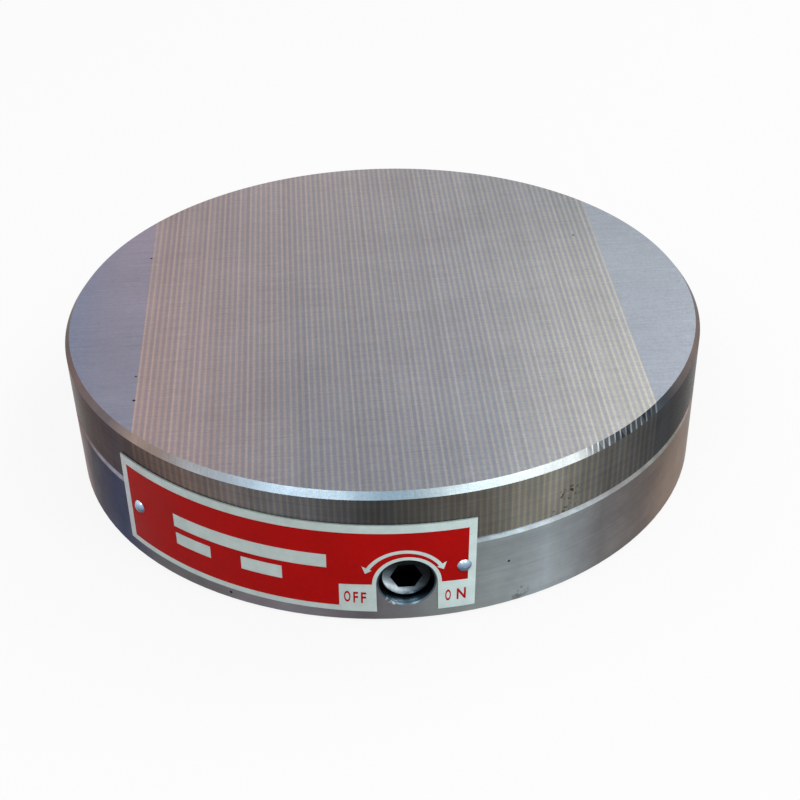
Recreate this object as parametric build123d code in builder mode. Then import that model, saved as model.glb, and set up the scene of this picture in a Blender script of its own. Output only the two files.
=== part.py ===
from build123d import *
import math
import os

os.makedirs("parts", exist_ok=True)

# A round permanent-magnet chuck with a fine-pole face. The origin is the centre of the
# underside, +Z is up, the face strips run along Y and the key hole opens towards -Y.
# The pieces are drawn with the chuck switched off.

# Overall sizes
chuck_dia = 200.0
body_height = 27.0
plate_thickness = 18.0
body_chamfer = 2.0
foot_chamfer = 0.6
plate_chamfer_width = 1.5
plate_chamfer_height = 1.9

# Face plate: steel strips brazed side by side with thin brass between them
band_share = 0.75
strip_width = 1.3
brass_width = 0.5

# Housing: a turned pot with a thicker wall where the key shaft passes through
wall_thickness = 16.0
floor_thickness = 7.0
key_wall = 24.0
cavity_bevel = 1.5
register_dia = 150.0
register_depth = 3.0

# Fits and clearances
running_gap = 0.03
thread_gap = 0.05
slide_gap = 0.3
pack_gap = 1.0

# Screws that pull the face plate down, from beneath
plate_screw_dia = 6.0
plate_screw_head_dia = 10.0
plate_screw_head_height = 6.0
plate_screw_socket = 5.0
plate_screw_engagement = 12.0
plate_screw_inset = 7.0
counterbore_gap = 0.5
counterbore_depth = 8.0
screw_clearance = 0.3
screw_edge_margin = 9.0

# Tapped holes for fastening the chuck to a machine, at M8 tapping size
mount_hole_dia = 6.8
mount_hole_depth = 14.0
mount_hole_count = 4
mount_hole_inset = 10.0

# Sealing cord between the housing and the face plate
seal_width = 2.0
seal_depth = 1.8
seal_inset = 1.2

# Key shaft and its bush
shaft_height = 13.75
shaft_dia = 14.5
shaft_recess = 3.0
hex_socket = 8.0
hex_depth = 10.0
key_bore_clearance = 0.6
key_bore_depth = 5.0
key_bore_chamfer = 0.4
bush_wall = 1.25
shaft_seal_cord = 1.5
shaft_seal_setback = 2.0
shaft_seal_groove = 2.0

# Stop that limits the shaft to half a turn
limit_screw_dia = 6.0
limit_screw_socket = 3.0
limit_screw_recess = 0.5
limit_dog_dia = 3.5
limit_dog_bite = 1.5
limit_groove_depth = 2.0
limit_setback = 4.5
limit_gap = 0.2

# Eccentric drive from the shaft to the magnet pack
strips_per_stroke = 3
pin_dia = 6.0
block_width = 12.0
block_height = 9.0
yoke_thickness = 6.0
yoke_width = 40.0
yoke_front_gap = 0.8
yoke_foot_depth = 9.2
yoke_foot_height = 4.0
yoke_screw_dia = 4.0
yoke_screw_head_dia = 7.0
yoke_screw_head_height = 4.0
yoke_screw_spacing = 27.0

# Magnet pack
carrier_lift = 1.0
carrier_thickness = 4.5
end_plate_thickness = 3.0
rod_dia = 5.0
rod_offset = 27.0
nut_across_flats = 8.0
nut_thickness = 2.7
rod_room = 0.7

# Bronze rails that the pack slides on
rail_width = 8.0
rail_height = 3.0
rail_offset = 36.0
rail_end_gap = 6.0
rail_screw_dia = 3.0
rail_screw_head_dia = 5.6
rail_screw_depth = 3.0
rail_screw_setback = 22.0

# Nameplate, a thin curved sheet held by two drive rivets, its left end a little higher
nameplate_length = 111.0
nameplate_height = 30.9
nameplate_tilt = 1.2
nameplate_thickness = 0.5
nameplate_gap = 0.05
nameplate_middle = 19.9
nameplate_key_inset = 19.5
arch_clearance = 0.8
rivet_head_dia = 4.2
rivet_head_height = 1.2
rivet_shank_dia = 2.2
rivet_length = 6.0
left_rivet_inset = 6.6
left_rivet_height = 20.4
right_rivet_inset = 3.4
right_rivet_height = 18.2

# Worked-out places
chuck_r = chuck_dia / 2
plate_top = body_height + plate_thickness
band_width = band_share * chuck_dia
strip_pitch = strip_width + brass_width
strip_count = int((band_width - brass_width) / strip_pitch)
band_half = (strip_count * strip_pitch + brass_width) / 2
cavity_r = chuck_r - wall_thickness
screw_circle_r = chuck_r - plate_screw_inset
mount_circle_r = chuck_r - mount_hole_inset
screw_spread = math.degrees(math.acos((band_half + screw_edge_margin) / screw_circle_r))

shaft_r = shaft_dia / 2
shaft_front_y = -(chuck_r - shaft_recess)
boss_face_y = -(chuck_r - key_wall)
bush_front_y = -(chuck_r - key_bore_depth)
bush_r = shaft_r + running_gap + bush_wall
key_bore_r = shaft_r + key_bore_clearance
limit_y = boss_face_y - limit_setback

stroke = strips_per_stroke * strip_pitch
eccentricity = stroke / 2
pack_x = -eccentricity

yoke_front_y = boss_face_y + yoke_front_gap
yoke_back_y = yoke_front_y + yoke_thickness
yoke_foot_back_y = yoke_back_y + yoke_foot_depth
carrier_bottom = floor_thickness + carrier_lift
stack_bottom = carrier_bottom + carrier_thickness
stack_top = body_height - slide_gap
stack_height = stack_top - stack_bottom

row_thickness = strips_per_stroke * strip_pitch
row_pitch = 2 * row_thickness
pack_r = cavity_r - eccentricity - pack_gap
pack_front_y = yoke_foot_back_y + slide_gap
nut_r = nut_across_flats / 2 / math.cos(math.radians(30))
nut_reach = math.sqrt(pack_r**2 - (rod_offset + nut_r) ** 2)
half_rows = int((nut_reach - nut_thickness - end_plate_thickness - row_thickness / 2) / row_pitch)
stack_half = half_rows * row_pitch + row_thickness / 2
rod_z = stack_bottom + stack_height / 2
rod_half = stack_half + end_plate_thickness + nut_thickness

rail_top = floor_thickness + rail_height
rail_half = math.sqrt((cavity_r - rail_end_gap) ** 2 - (rail_offset + rail_width / 2) ** 2)

screw_spots = []
for side in (0, 180):
    for angle in (side - screw_spread, side, side + screw_spread):
        turn = math.radians(angle)
        screw_spots.append((screw_circle_r * math.cos(turn), screw_circle_r * math.sin(turn)))
rod_spots = [(-rod_offset, rod_z), (rod_offset, rod_z)]
yoke_screw_y = (yoke_back_y + pack_front_y) / 2
yoke_screw_spots = [(pack_x + side * yoke_screw_spacing / 2, yoke_screw_y) for side in (-1, 1)]
rail_screw_x = rail_half - rail_screw_setback
rail_screw_spots = [(end * rail_screw_x, side * rail_offset) for side in (-1, 1) for end in (-1, 1)]


def y_plane(y):
    """A sketch plane across Y: its local x is X and its local y is Z."""
    return Plane.XZ.offset(-y)


def rim_plane(arc, z):
    """A plane on the rim that faces outwards, arc mm round it from the key hole."""
    turn = arc / chuck_r
    outward = (math.sin(turn), -math.cos(turn), 0)
    return Plane(origin=(chuck_r * outward[0], chuck_r * outward[1], z), z_dir=outward)


def nameplate_edge(arc, z, along, up):
    """A cutting plane at one edge of the nameplate, facing along the rim or up, before its tilt."""
    turn = arc / chuck_r
    tilt = math.radians(nameplate_tilt)
    tangent = along * math.cos(tilt) + up * math.sin(tilt)
    rise = up * math.cos(tilt) - along * math.sin(tilt)
    return Plane(
        origin=(chuck_r * math.sin(turn), -chuck_r * math.cos(turn), z),
        z_dir=(tangent * math.cos(turn), tangent * math.sin(turn), rise),
    )


def row_span(centre, thickness):
    """Front and rear ends of a row of the pack, stepped to follow the round cavity."""
    reach = math.sqrt(pack_r**2 - (abs(centre) + thickness / 2) ** 2)
    return max(-reach, pack_front_y), reach


def strip_places(count):
    """Middles of a row of strips at the strip pitch, centred on the chuck."""
    return [(index - (count - 1) / 2) * strip_pitch for index in range(count)]


def face_strip(middle, width):
    """One full-height strip of the face, from rim to rim, with the plate's bevel on its ends."""
    left = middle - width / 2
    right = middle + width / 2
    left_reach = math.sqrt(chuck_r**2 - left**2)
    right_reach = math.sqrt(chuck_r**2 - right**2)
    with BuildPart() as strip:
        with BuildSketch(Plane.XY.offset(body_height)):
            with BuildLine():
                Polyline(
                    (left, -left_reach),
                    (right, -right_reach),
                    (right, right_reach),
                    (left, left_reach),
                    close=True,
                )
            make_face()
        extrude(amount=plate_thickness)
        for end in (-1, 1):
            rim_point = (middle, end * math.sqrt(chuck_r**2 - middle**2))
            bevel = Plane(
                origin=(*rim_point, plate_top - plate_chamfer_height),
                z_dir=(
                    rim_point[0] / chuck_r * plate_chamfer_height,
                    rim_point[1] / chuck_r * plate_chamfer_height,
                    plate_chamfer_width,
                ),
            )
            split(bisect_by=bevel, keep=Keep.BOTTOM)
    return strip.part


nameplate_right = nameplate_key_inset
nameplate_left = nameplate_key_inset - nameplate_length
rivet_planes = [
    rim_plane(nameplate_left + left_rivet_inset, left_rivet_height),
    rim_plane(nameplate_right - right_rivet_inset, right_rivet_height),
]

# Housing
with BuildPart() as housing:
    with BuildSketch(Plane.XZ):
        with BuildLine():
            Polyline(
                (0, register_depth),
                (register_dia / 2, register_depth),
                (register_dia / 2, 0),
                (chuck_r - foot_chamfer, 0),
                (chuck_r, foot_chamfer),
                (chuck_r, body_height - body_chamfer),
                (chuck_r - body_chamfer, body_height),
                (0, body_height),
                close=True,
            )
        make_face()
    revolve(axis=Axis.Z)
    # Cavity for the magnet pack, flat on the key side
    with BuildSketch(Plane.XY.offset(floor_thickness)):
        Circle(cavity_r)
        with Locations((0, boss_face_y - cavity_r)):
            Rectangle(2 * cavity_r, 2 * cavity_r, mode=Mode.SUBTRACT)
    extrude(amount=body_height - floor_thickness, mode=Mode.SUBTRACT)
    floor_edges = housing.edges().filter_by_position(
        Axis.Z, floor_thickness, floor_thickness, inclusive=(True, True)
    )
    chamfer(floor_edges, cavity_bevel)
    # Groove for the sealing cord
    with BuildSketch(Plane.XY.offset(body_height)):
        Circle(cavity_r + seal_inset + seal_width)
        Circle(cavity_r + seal_inset, mode=Mode.SUBTRACT)
    extrude(amount=-seal_depth, mode=Mode.SUBTRACT)
    # Key bore with a bevelled mouth, and the seat of the bush behind it
    with BuildSketch(y_plane(-chuck_r)):
        with Locations((0, shaft_height)):
            Circle(key_bore_r)
    extrude(amount=-key_bore_depth, mode=Mode.SUBTRACT)
    with BuildSketch(y_plane(-chuck_r)):
        with Locations((0, shaft_height)):
            Circle(key_bore_r + key_bore_chamfer)
    extrude(amount=-key_bore_chamfer, taper=45, mode=Mode.SUBTRACT)
    with BuildSketch(y_plane(bush_front_y)):
        with Locations((0, shaft_height)):
            Circle(bush_r)
    extrude(amount=-(boss_face_y - bush_front_y), mode=Mode.SUBTRACT)
    # Tapped hole of the limit screw, up to the bush
    with BuildSketch(Plane.XY):
        with Locations((0, limit_y)):
            Circle(limit_screw_dia / 2 + thread_gap)
    extrude(amount=shaft_height - shaft_r, mode=Mode.SUBTRACT)
    # Counterbored holes for the face plate's screws
    with BuildSketch(Plane.XY):
        with Locations(*screw_spots):
            Circle(plate_screw_dia / 2 + screw_clearance)
    extrude(amount=body_height, mode=Mode.SUBTRACT)
    with BuildSketch(Plane.XY):
        with Locations(*screw_spots):
            Circle(plate_screw_head_dia / 2 + counterbore_gap)
    extrude(amount=counterbore_depth, mode=Mode.SUBTRACT)
    # Tapped mounting holes, between the two groups of screws
    with BuildSketch(Plane.XY):
        with PolarLocations(mount_circle_r, mount_hole_count, start_angle=180 / mount_hole_count):
            Circle(mount_hole_dia / 2)
    extrude(amount=mount_hole_depth, mode=Mode.SUBTRACT)
    # Tapped holes for the rails, and holes for the rivets
    with BuildSketch(Plane.XY.offset(floor_thickness)):
        with Locations(*rail_screw_spots):
            Circle(rail_screw_dia / 2 + thread_gap)
    extrude(amount=-rail_screw_depth, mode=Mode.SUBTRACT)
    for plane in rivet_planes:
        with BuildSketch(plane):
            Circle(rivet_shank_dia / 2 + thread_gap)
        extrude(amount=-rivet_length - thread_gap, mode=Mode.SUBTRACT)
housing.part.label = "housing"
export_step(housing.part, "parts/housing.step")

# Solid steel sides of the face plate
for side, name in ((-1, "face_plate_left_side"), (1, "face_plate_right_side")):
    side_width = chuck_r - band_half
    with BuildPart() as face_plate_side:
        with BuildSketch(Plane.XZ):
            with BuildLine():
                Polyline(
                    (0, body_height),
                    (chuck_r, body_height),
                    (chuck_r, plate_top - plate_chamfer_height),
                    (chuck_r - plate_chamfer_width, plate_top),
                    (0, plate_top),
                    close=True,
                )
            make_face()
        revolve(axis=Axis.Z)
        with BuildSketch(Plane.XY.offset(body_height)):
            with Locations((side * (band_half + side_width / 2), 0)):
                Rectangle(side_width, chuck_dia)
        extrude(amount=plate_thickness, mode=Mode.INTERSECT)
        with BuildSketch(Plane.XY.offset(body_height)):
            with Locations(*[spot for spot in screw_spots if spot[0] * side > 0]):
                Circle(plate_screw_dia / 2 + thread_gap)
        extrude(amount=plate_screw_engagement + thread_gap, mode=Mode.SUBTRACT)
    face_plate_side.part.label = name
    export_step(face_plate_side.part, f"parts/{name}.step")

# Steel strips of the fine-pole band
steel_pieces = [face_strip(place, strip_width) for place in strip_places(strip_count)]
with BuildPart() as pole_strips:
    add(steel_pieces)
pole_strips.part.label = "pole_strips"
export_step(pole_strips.part, "parts/pole_strips.step")

# Brass strips between and beside them
brass_pieces = [face_strip(place, brass_width) for place in strip_places(strip_count + 1)]
with BuildPart() as brass_strips:
    add(brass_pieces)
brass_strips.part.label = "brass_strips"
export_step(brass_strips.part, "parts/brass_strips.step")

# Socket head screws of the face plate
with BuildPart() as face_plate_screws:
    with BuildSketch(Plane.XY.offset(counterbore_depth - plate_screw_head_height)):
        with Locations(*screw_spots):
            Circle(plate_screw_head_dia / 2)
    extrude(amount=plate_screw_head_height)
    with BuildSketch(Plane.XY.offset(counterbore_depth)):
        with Locations(*screw_spots):
            Circle(plate_screw_dia / 2)
    extrude(amount=body_height + plate_screw_engagement - counterbore_depth)
    with BuildSketch(Plane.XY.offset(counterbore_depth - plate_screw_head_height)):
        with Locations(*screw_spots):
            RegularPolygon(plate_screw_socket / 2, 6, major_radius=False)
    extrude(amount=plate_screw_head_height / 2, mode=Mode.SUBTRACT)
face_plate_screws.part.label = "face_plate_screws"
export_step(face_plate_screws.part, "parts/face_plate_screws.step")

# Sealing cord under the face plate
with BuildPart() as face_plate_seal:
    with BuildSketch(Plane.XY.offset(body_height)):
        Circle(cavity_r + seal_inset + seal_width)
        Circle(cavity_r + seal_inset, mode=Mode.SUBTRACT)
    extrude(amount=-seal_depth)
face_plate_seal.part.label = "face_plate_seal"
export_step(face_plate_seal.part, "parts/face_plate_seal.step")

# Bush that carries the key shaft, with a hole for the limit screw's dog
with BuildPart() as shaft_bush:
    with BuildSketch(y_plane(bush_front_y)):
        with Locations((0, shaft_height)):
            Circle(bush_r)
            Circle(shaft_r + running_gap, mode=Mode.SUBTRACT)
    extrude(amount=-(boss_face_y - bush_front_y))
    with BuildSketch(Plane.XY):
        with Locations((0, limit_y)):
            Circle(limit_dog_dia / 2 + thread_gap)
    extrude(amount=shaft_height, mode=Mode.SUBTRACT)
shaft_bush.part.label = "shaft_bush"
export_step(shaft_bush.part, "parts/shaft_bush.step")

# Limit screw: a set screw whose dog stands in the shaft's half-round groove
with BuildPart() as limit_screw:
    with BuildSketch(Plane.XY.offset(limit_screw_recess)):
        with Locations((0, limit_y)):
            Circle(limit_screw_dia / 2)
    extrude(amount=shaft_height - bush_r - limit_screw_recess - limit_gap)
    with BuildSketch(Plane.XY.offset(limit_screw_recess)):
        with Locations((0, limit_y)):
            Circle(limit_dog_dia / 2)
    extrude(amount=shaft_height - shaft_r + limit_dog_bite - limit_screw_recess)
    with BuildSketch(Plane.XY.offset(limit_screw_recess)):
        with Locations((0, limit_y)):
            RegularPolygon(limit_screw_socket / 2, 6, major_radius=False)
    extrude(amount=limit_screw_socket / 2, mode=Mode.SUBTRACT)
limit_screw.part.label = "limit_screw"
export_step(limit_screw.part, "parts/limit_screw.step")

# Key shaft: hex socket, seal groove, half-round limit groove and eccentric pin
shaft_seal_y = shaft_front_y + hex_depth + shaft_seal_setback
shaft_seal_floor_r = shaft_r - shaft_seal_cord - thread_gap
limit_groove_width = limit_dog_dia + 2 * limit_gap
limit_wall_x = -(limit_dog_dia / 2 + limit_gap)
with BuildPart() as key_shaft:
    with BuildSketch(y_plane(shaft_front_y)):
        with Locations((0, shaft_height)):
            Circle(shaft_r)
    extrude(amount=-(boss_face_y - shaft_front_y))
    chamfer(key_shaft.edges().group_by(Axis.Y)[0], thread_gap * 10)
    with BuildSketch(y_plane(shaft_front_y)):
        with Locations((0, shaft_height)):
            RegularPolygon(hex_socket / 2, 6, major_radius=False)
    extrude(amount=-hex_depth, mode=Mode.SUBTRACT)
    with BuildSketch(y_plane(shaft_seal_y - shaft_seal_groove / 2)):
        with Locations((0, shaft_height)):
            Circle(shaft_r + thread_gap)
            Circle(shaft_seal_floor_r, mode=Mode.SUBTRACT)
    extrude(amount=-shaft_seal_groove, mode=Mode.SUBTRACT)
    with BuildSketch(y_plane(limit_y - limit_groove_width / 2)):
        with Locations((0, shaft_height)):
            Circle(shaft_r + thread_gap)
            Circle(shaft_r - limit_groove_depth, mode=Mode.SUBTRACT)
        with Locations((limit_wall_x - shaft_dia / 2, shaft_height)):
            Rectangle(shaft_dia, 2 * shaft_dia, mode=Mode.SUBTRACT)
    extrude(amount=-limit_groove_width, mode=Mode.SUBTRACT)
    with BuildSketch(y_plane(boss_face_y)):
        with Locations((pack_x, shaft_height)):
            Circle(pin_dia / 2)
    extrude(amount=-(yoke_back_y - slide_gap - boss_face_y))
key_shaft.part.label = "key_shaft"
export_step(key_shaft.part, "parts/key_shaft.step")

# Square rubber ring in the shaft's seal groove
with BuildPart() as shaft_seal_ring:
    with BuildSketch(y_plane(shaft_seal_y - shaft_seal_cord / 2)):
        with Locations((0, shaft_height)):
            Circle(shaft_seal_floor_r + shaft_seal_cord)
            Circle(shaft_seal_floor_r, mode=Mode.SUBTRACT)
    extrude(amount=-shaft_seal_cord)
shaft_seal_ring.part.label = "shaft_seal_ring"
export_step(shaft_seal_ring.part, "parts/shaft_seal_ring.step")

# Slide block on the eccentric pin
with BuildPart() as slide_block:
    with BuildSketch(y_plane(yoke_front_y)):
        with Locations((pack_x, shaft_height)):
            Rectangle(block_width, block_height)
            Circle(pin_dia / 2 + running_gap, mode=Mode.SUBTRACT)
    extrude(amount=-(yoke_thickness - slide_gap))
slide_block.part.label = "slide_block"
export_step(slide_block.part, "parts/slide_block.step")

# Drive yoke: an upright fork over the slide block, with a foot on the carrier. The slot is
# wider than the block by what the pin's round path departs from the pack's even travel.
slot_side_gap = 0.22 * eccentricity + thread_gap * 3
slot_width = block_width + 2 * slot_side_gap
slot_top = shaft_height + eccentricity + block_height / 2 + 2 * slide_gap
with BuildPart() as drive_yoke:
    with BuildSketch(y_plane(yoke_front_y)):
        with Locations((pack_x, carrier_bottom)):
            Rectangle(yoke_width, stack_top - carrier_bottom, align=(Align.CENTER, Align.MIN))
            Rectangle(
                slot_width,
                slot_top - carrier_bottom,
                align=(Align.CENTER, Align.MIN),
                mode=Mode.SUBTRACT,
            )
    extrude(amount=-yoke_thickness)
    with BuildSketch(Plane.XY.offset(stack_bottom)):
        with Locations((pack_x, yoke_back_y)):
            Rectangle(yoke_width, yoke_foot_depth, align=(Align.CENTER, Align.MIN))
    extrude(amount=yoke_foot_height)
    with BuildSketch(Plane.XY.offset(stack_bottom)):
        with Locations(*yoke_screw_spots):
            Circle(yoke_screw_dia / 2 + screw_clearance)
    extrude(amount=yoke_foot_height, mode=Mode.SUBTRACT)
drive_yoke.part.label = "drive_yoke"
export_step(drive_yoke.part, "parts/drive_yoke.step")

# Screws of the yoke's foot
with BuildPart() as yoke_screws:
    with BuildSketch(Plane.XY.offset(carrier_bottom)):
        with Locations(*yoke_screw_spots):
            Circle(yoke_screw_dia / 2)
    extrude(amount=carrier_thickness + yoke_foot_height)
    with BuildSketch(Plane.XY.offset(stack_bottom + yoke_foot_height)):
        with Locations(*yoke_screw_spots):
            Circle(yoke_screw_head_dia / 2)
    extrude(amount=yoke_screw_head_height)
    with BuildSketch(Plane.XY.offset(stack_bottom + yoke_foot_height + yoke_screw_head_height)):
        with Locations(*yoke_screw_spots):
            RegularPolygon(yoke_screw_dia * 0.375, 6, major_radius=False)
    extrude(amount=-yoke_screw_head_height / 2, mode=Mode.SUBTRACT)
yoke_screws.part.label = "yoke_screws"
export_step(yoke_screws.part, "parts/yoke_screws.step")

# Carrier plate under the pack, grooved over the two rails
with BuildPart() as carrier_plate:
    with BuildSketch(Plane.XY.offset(carrier_bottom)):
        with Locations((pack_x, 0)):
            Circle(pack_r)
            Rectangle(2 * stack_half, 2 * pack_r, mode=Mode.INTERSECT)
        with Locations((pack_x, yoke_back_y)):
            Rectangle(
                2 * pack_r, pack_r, align=(Align.CENTER, Align.MAX), mode=Mode.SUBTRACT
            )
    extrude(amount=carrier_thickness)
    with BuildSketch(Plane.XY.offset(carrier_bottom)):
        with Locations((pack_x, -rail_offset), (pack_x, rail_offset)):
            Rectangle(2 * pack_r, rail_width + 2 * slide_gap)
    extrude(amount=rail_top + slide_gap - carrier_bottom, mode=Mode.SUBTRACT)
    with BuildSketch(Plane.XY.offset(carrier_bottom)):
        with Locations(*yoke_screw_spots):
            Circle(yoke_screw_dia / 2 + thread_gap)
    extrude(amount=carrier_thickness, mode=Mode.SUBTRACT)
carrier_plate.part.label = "carrier_plate"
export_step(carrier_plate.part, "parts/carrier_plate.step")

# Steel pole pieces of the pack
with BuildPart() as pole_pieces:
    for row in range(-half_rows, half_rows + 1):
        front, rear = row_span(row * row_pitch, row_thickness)
        with BuildSketch(Plane.XY.offset(stack_bottom)):
            with Locations((pack_x + row * row_pitch, (front + rear) / 2)):
                Rectangle(row_thickness, rear - front)
        extrude(amount=stack_height)
    with BuildSketch(Plane.YZ.offset(pack_x - stack_half)):
        with Locations(*rod_spots):
            Circle(rod_dia / 2 + thread_gap)
    extrude(amount=2 * stack_half, mode=Mode.SUBTRACT)
pole_pieces.part.label = "pole_pieces"
export_step(pole_pieces.part, "parts/pole_pieces.step")

# Ferrite magnets between them, three blocks to a row with the tie rods in between
rod_lane = rod_dia / 2 + rod_room
with BuildPart() as ferrite_magnets:
    for row in range(-half_rows, half_rows):
        centre = (row + 0.5) * row_pitch
        front, rear = row_span(centre, row_thickness)
        blocks = [
            (front, -rod_offset - rod_lane),
            (-rod_offset + rod_lane, rod_offset - rod_lane),
            (rod_offset + rod_lane, rear),
        ]
        for start, end in blocks:
            with BuildSketch(Plane.XY.offset(stack_bottom)):
                with Locations((pack_x + centre, (start + end) / 2)):
                    Rectangle(row_thickness, end - start)
            extrude(amount=stack_height)
ferrite_magnets.part.label = "ferrite_magnets"
export_step(ferrite_magnets.part, "parts/ferrite_magnets.step")

# End plates that the tie rods clamp against the stack
end_plate_half = math.sqrt(pack_r**2 - (stack_half + end_plate_thickness) ** 2)
for side, name in ((-1, "left_end_plate"), (1, "right_end_plate")):
    with BuildPart() as end_plate:
        with BuildSketch(Plane.XY.offset(stack_bottom)):
            with Locations((pack_x + side * (stack_half + end_plate_thickness / 2), 0)):
                Rectangle(end_plate_thickness, 2 * end_plate_half)
        extrude(amount=stack_height)
        with BuildSketch(Plane.YZ.offset(pack_x - rod_half)):
            with Locations(*rod_spots):
                Circle(rod_dia / 2 + thread_gap)
        extrude(amount=2 * rod_half, mode=Mode.SUBTRACT)
    end_plate.part.label = name
    export_step(end_plate.part, f"parts/{name}.step")

# Tie rods
with BuildPart() as tie_rods:
    with BuildSketch(Plane.YZ.offset(pack_x - rod_half)):
        with Locations(*rod_spots):
            Circle(rod_dia / 2)
    extrude(amount=2 * rod_half)
tie_rods.part.label = "tie_rods"
export_step(tie_rods.part, "parts/tie_rods.step")

# Nuts on the ends of the tie rods
with BuildPart() as tie_rod_nuts:
    for nut_x in (-rod_half, rod_half - nut_thickness):
        with BuildSketch(Plane.YZ.offset(pack_x + nut_x)):
            with Locations(*rod_spots):
                RegularPolygon(nut_across_flats / 2, 6, major_radius=False)
                Circle(rod_dia / 2 + thread_gap, mode=Mode.SUBTRACT)
        extrude(amount=nut_thickness)
tie_rod_nuts.part.label = "tie_rod_nuts"
export_step(tie_rod_nuts.part, "parts/tie_rod_nuts.step")

# Guide rails on the cavity floor
rail_head_depth = (rail_screw_head_dia - rail_screw_dia) / 2
with BuildPart() as guide_rails:
    with BuildSketch(Plane.XY.offset(floor_thickness)):
        with Locations((0, -rail_offset), (0, rail_offset)):
            Rectangle(2 * rail_half, rail_width)
    extrude(amount=rail_height)
    with BuildSketch(Plane.XY.offset(floor_thickness)):
        with Locations(*rail_screw_spots):
            Circle(rail_screw_dia / 2 + thread_gap)
    extrude(amount=rail_height, mode=Mode.SUBTRACT)
    with BuildSketch(Plane.XY.offset(rail_top)):
        with Locations(*rail_screw_spots):
            Circle(rail_screw_head_dia / 2 + thread_gap)
    extrude(amount=-rail_head_depth, taper=45, mode=Mode.SUBTRACT)
guide_rails.part.label = "guide_rails"
export_step(guide_rails.part, "parts/guide_rails.step")

# Countersunk screws of the rails
with BuildPart() as rail_screws:
    with BuildSketch(Plane.XY.offset(floor_thickness - rail_screw_depth)):
        with Locations(*rail_screw_spots):
            Circle(rail_screw_dia / 2)
    extrude(amount=rail_screw_depth + rail_height)
    with BuildSketch(Plane.XY.offset(rail_top)):
        with Locations(*rail_screw_spots):
            Circle(rail_screw_head_dia / 2)
    extrude(amount=-rail_head_depth, taper=45)
rail_screws.part.label = "rail_screws"
export_step(rail_screws.part, "parts/rail_screws.step")

# Nameplate round the rim, with an arch over the key hole
arch_r = key_bore_r + arch_clearance
nameplate_r = chuck_r + nameplate_gap
nameplate_centre = (nameplate_left + nameplate_right) / 2
end_rise = nameplate_length / 2 * math.tan(math.radians(nameplate_tilt))
nameplate_edges = [
    nameplate_edge(nameplate_left, nameplate_middle + end_rise, -1, 0),
    nameplate_edge(nameplate_right, nameplate_middle - end_rise, 1, 0),
    nameplate_edge(nameplate_centre, nameplate_middle - nameplate_height / 2, 0, -1),
    nameplate_edge(nameplate_centre, nameplate_middle + nameplate_height / 2, 0, 1),
]
left_turn = math.degrees((nameplate_left - end_rise) / chuck_r) - 90
right_turn = math.degrees((nameplate_right + end_rise) / chuck_r) - 90
with BuildPart() as nameplate:
    with BuildSketch():
        with BuildLine():
            inner = CenterArc((0, 0), nameplate_r, left_turn, right_turn - left_turn)
            outer = CenterArc(
                (0, 0), nameplate_r + nameplate_thickness, left_turn, right_turn - left_turn
            )
            Line(inner @ 0, outer @ 0)
            Line(inner @ 1, outer @ 1)
        make_face()
    extrude(amount=plate_top)
    for edge in nameplate_edges:
        split(bisect_by=edge, keep=Keep.BOTTOM)
    with BuildSketch(y_plane(-chuck_r - 2 * nameplate_thickness)):
        with Locations((0, shaft_height)):
            Circle(arch_r)
            Rectangle(2 * arch_r, shaft_height, align=(Align.CENTER, Align.MAX))
    extrude(amount=-wall_thickness, mode=Mode.SUBTRACT)
    for plane in rivet_planes:
        with BuildSketch(plane):
            Circle(rivet_shank_dia / 2 + thread_gap)
        extrude(amount=2 * nameplate_thickness, mode=Mode.SUBTRACT)
nameplate.part.label = "nameplate"
export_step(nameplate.part, "parts/nameplate.step")

# Drive rivets with domed heads
rivet_head_base = nameplate_gap + nameplate_thickness
rivet_top = rivet_head_base + rivet_head_height
dome_r = (rivet_head_height**2 + (rivet_head_dia / 2) ** 2) / (2 * rivet_head_height)
dome_start = math.degrees(math.acos(rivet_head_dia / 2 / dome_r))
with BuildPart() as nameplate_rivets:
    for plane in rivet_planes:
        section = Plane(plane.origin, x_dir=plane.x_dir, z_dir=plane.x_dir.cross(plane.z_dir))
        with BuildSketch(section):
            with BuildLine():
                dome = CenterArc((0, rivet_top - dome_r), dome_r, dome_start, 90 - dome_start)
                Polyline(
                    dome @ 1,
                    (0, -rivet_length),
                    (rivet_shank_dia / 2, -rivet_length),
                    (rivet_shank_dia / 2, rivet_head_base),
                    dome @ 0,
                )
            make_face()
        revolve(axis=Axis(plane.origin, plane.z_dir))
nameplate_rivets.part.label = "nameplate_rivets"
export_step(nameplate_rivets.part, "parts/nameplate_rivets.step")
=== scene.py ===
import math

import bmesh
import bpy
from mathutils import Matrix, Vector


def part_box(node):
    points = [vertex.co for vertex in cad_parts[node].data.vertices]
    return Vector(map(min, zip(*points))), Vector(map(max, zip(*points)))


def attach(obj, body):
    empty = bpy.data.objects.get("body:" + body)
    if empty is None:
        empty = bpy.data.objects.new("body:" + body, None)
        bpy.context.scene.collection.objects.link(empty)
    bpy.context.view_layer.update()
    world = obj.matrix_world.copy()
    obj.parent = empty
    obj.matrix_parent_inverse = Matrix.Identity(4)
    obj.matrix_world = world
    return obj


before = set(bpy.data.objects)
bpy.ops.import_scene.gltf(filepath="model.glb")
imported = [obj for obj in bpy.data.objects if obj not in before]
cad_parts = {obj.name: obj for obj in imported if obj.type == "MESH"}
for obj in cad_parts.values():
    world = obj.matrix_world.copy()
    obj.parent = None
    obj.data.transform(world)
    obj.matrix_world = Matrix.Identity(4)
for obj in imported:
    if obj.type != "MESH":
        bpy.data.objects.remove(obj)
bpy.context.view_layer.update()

MM = 0.001

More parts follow.
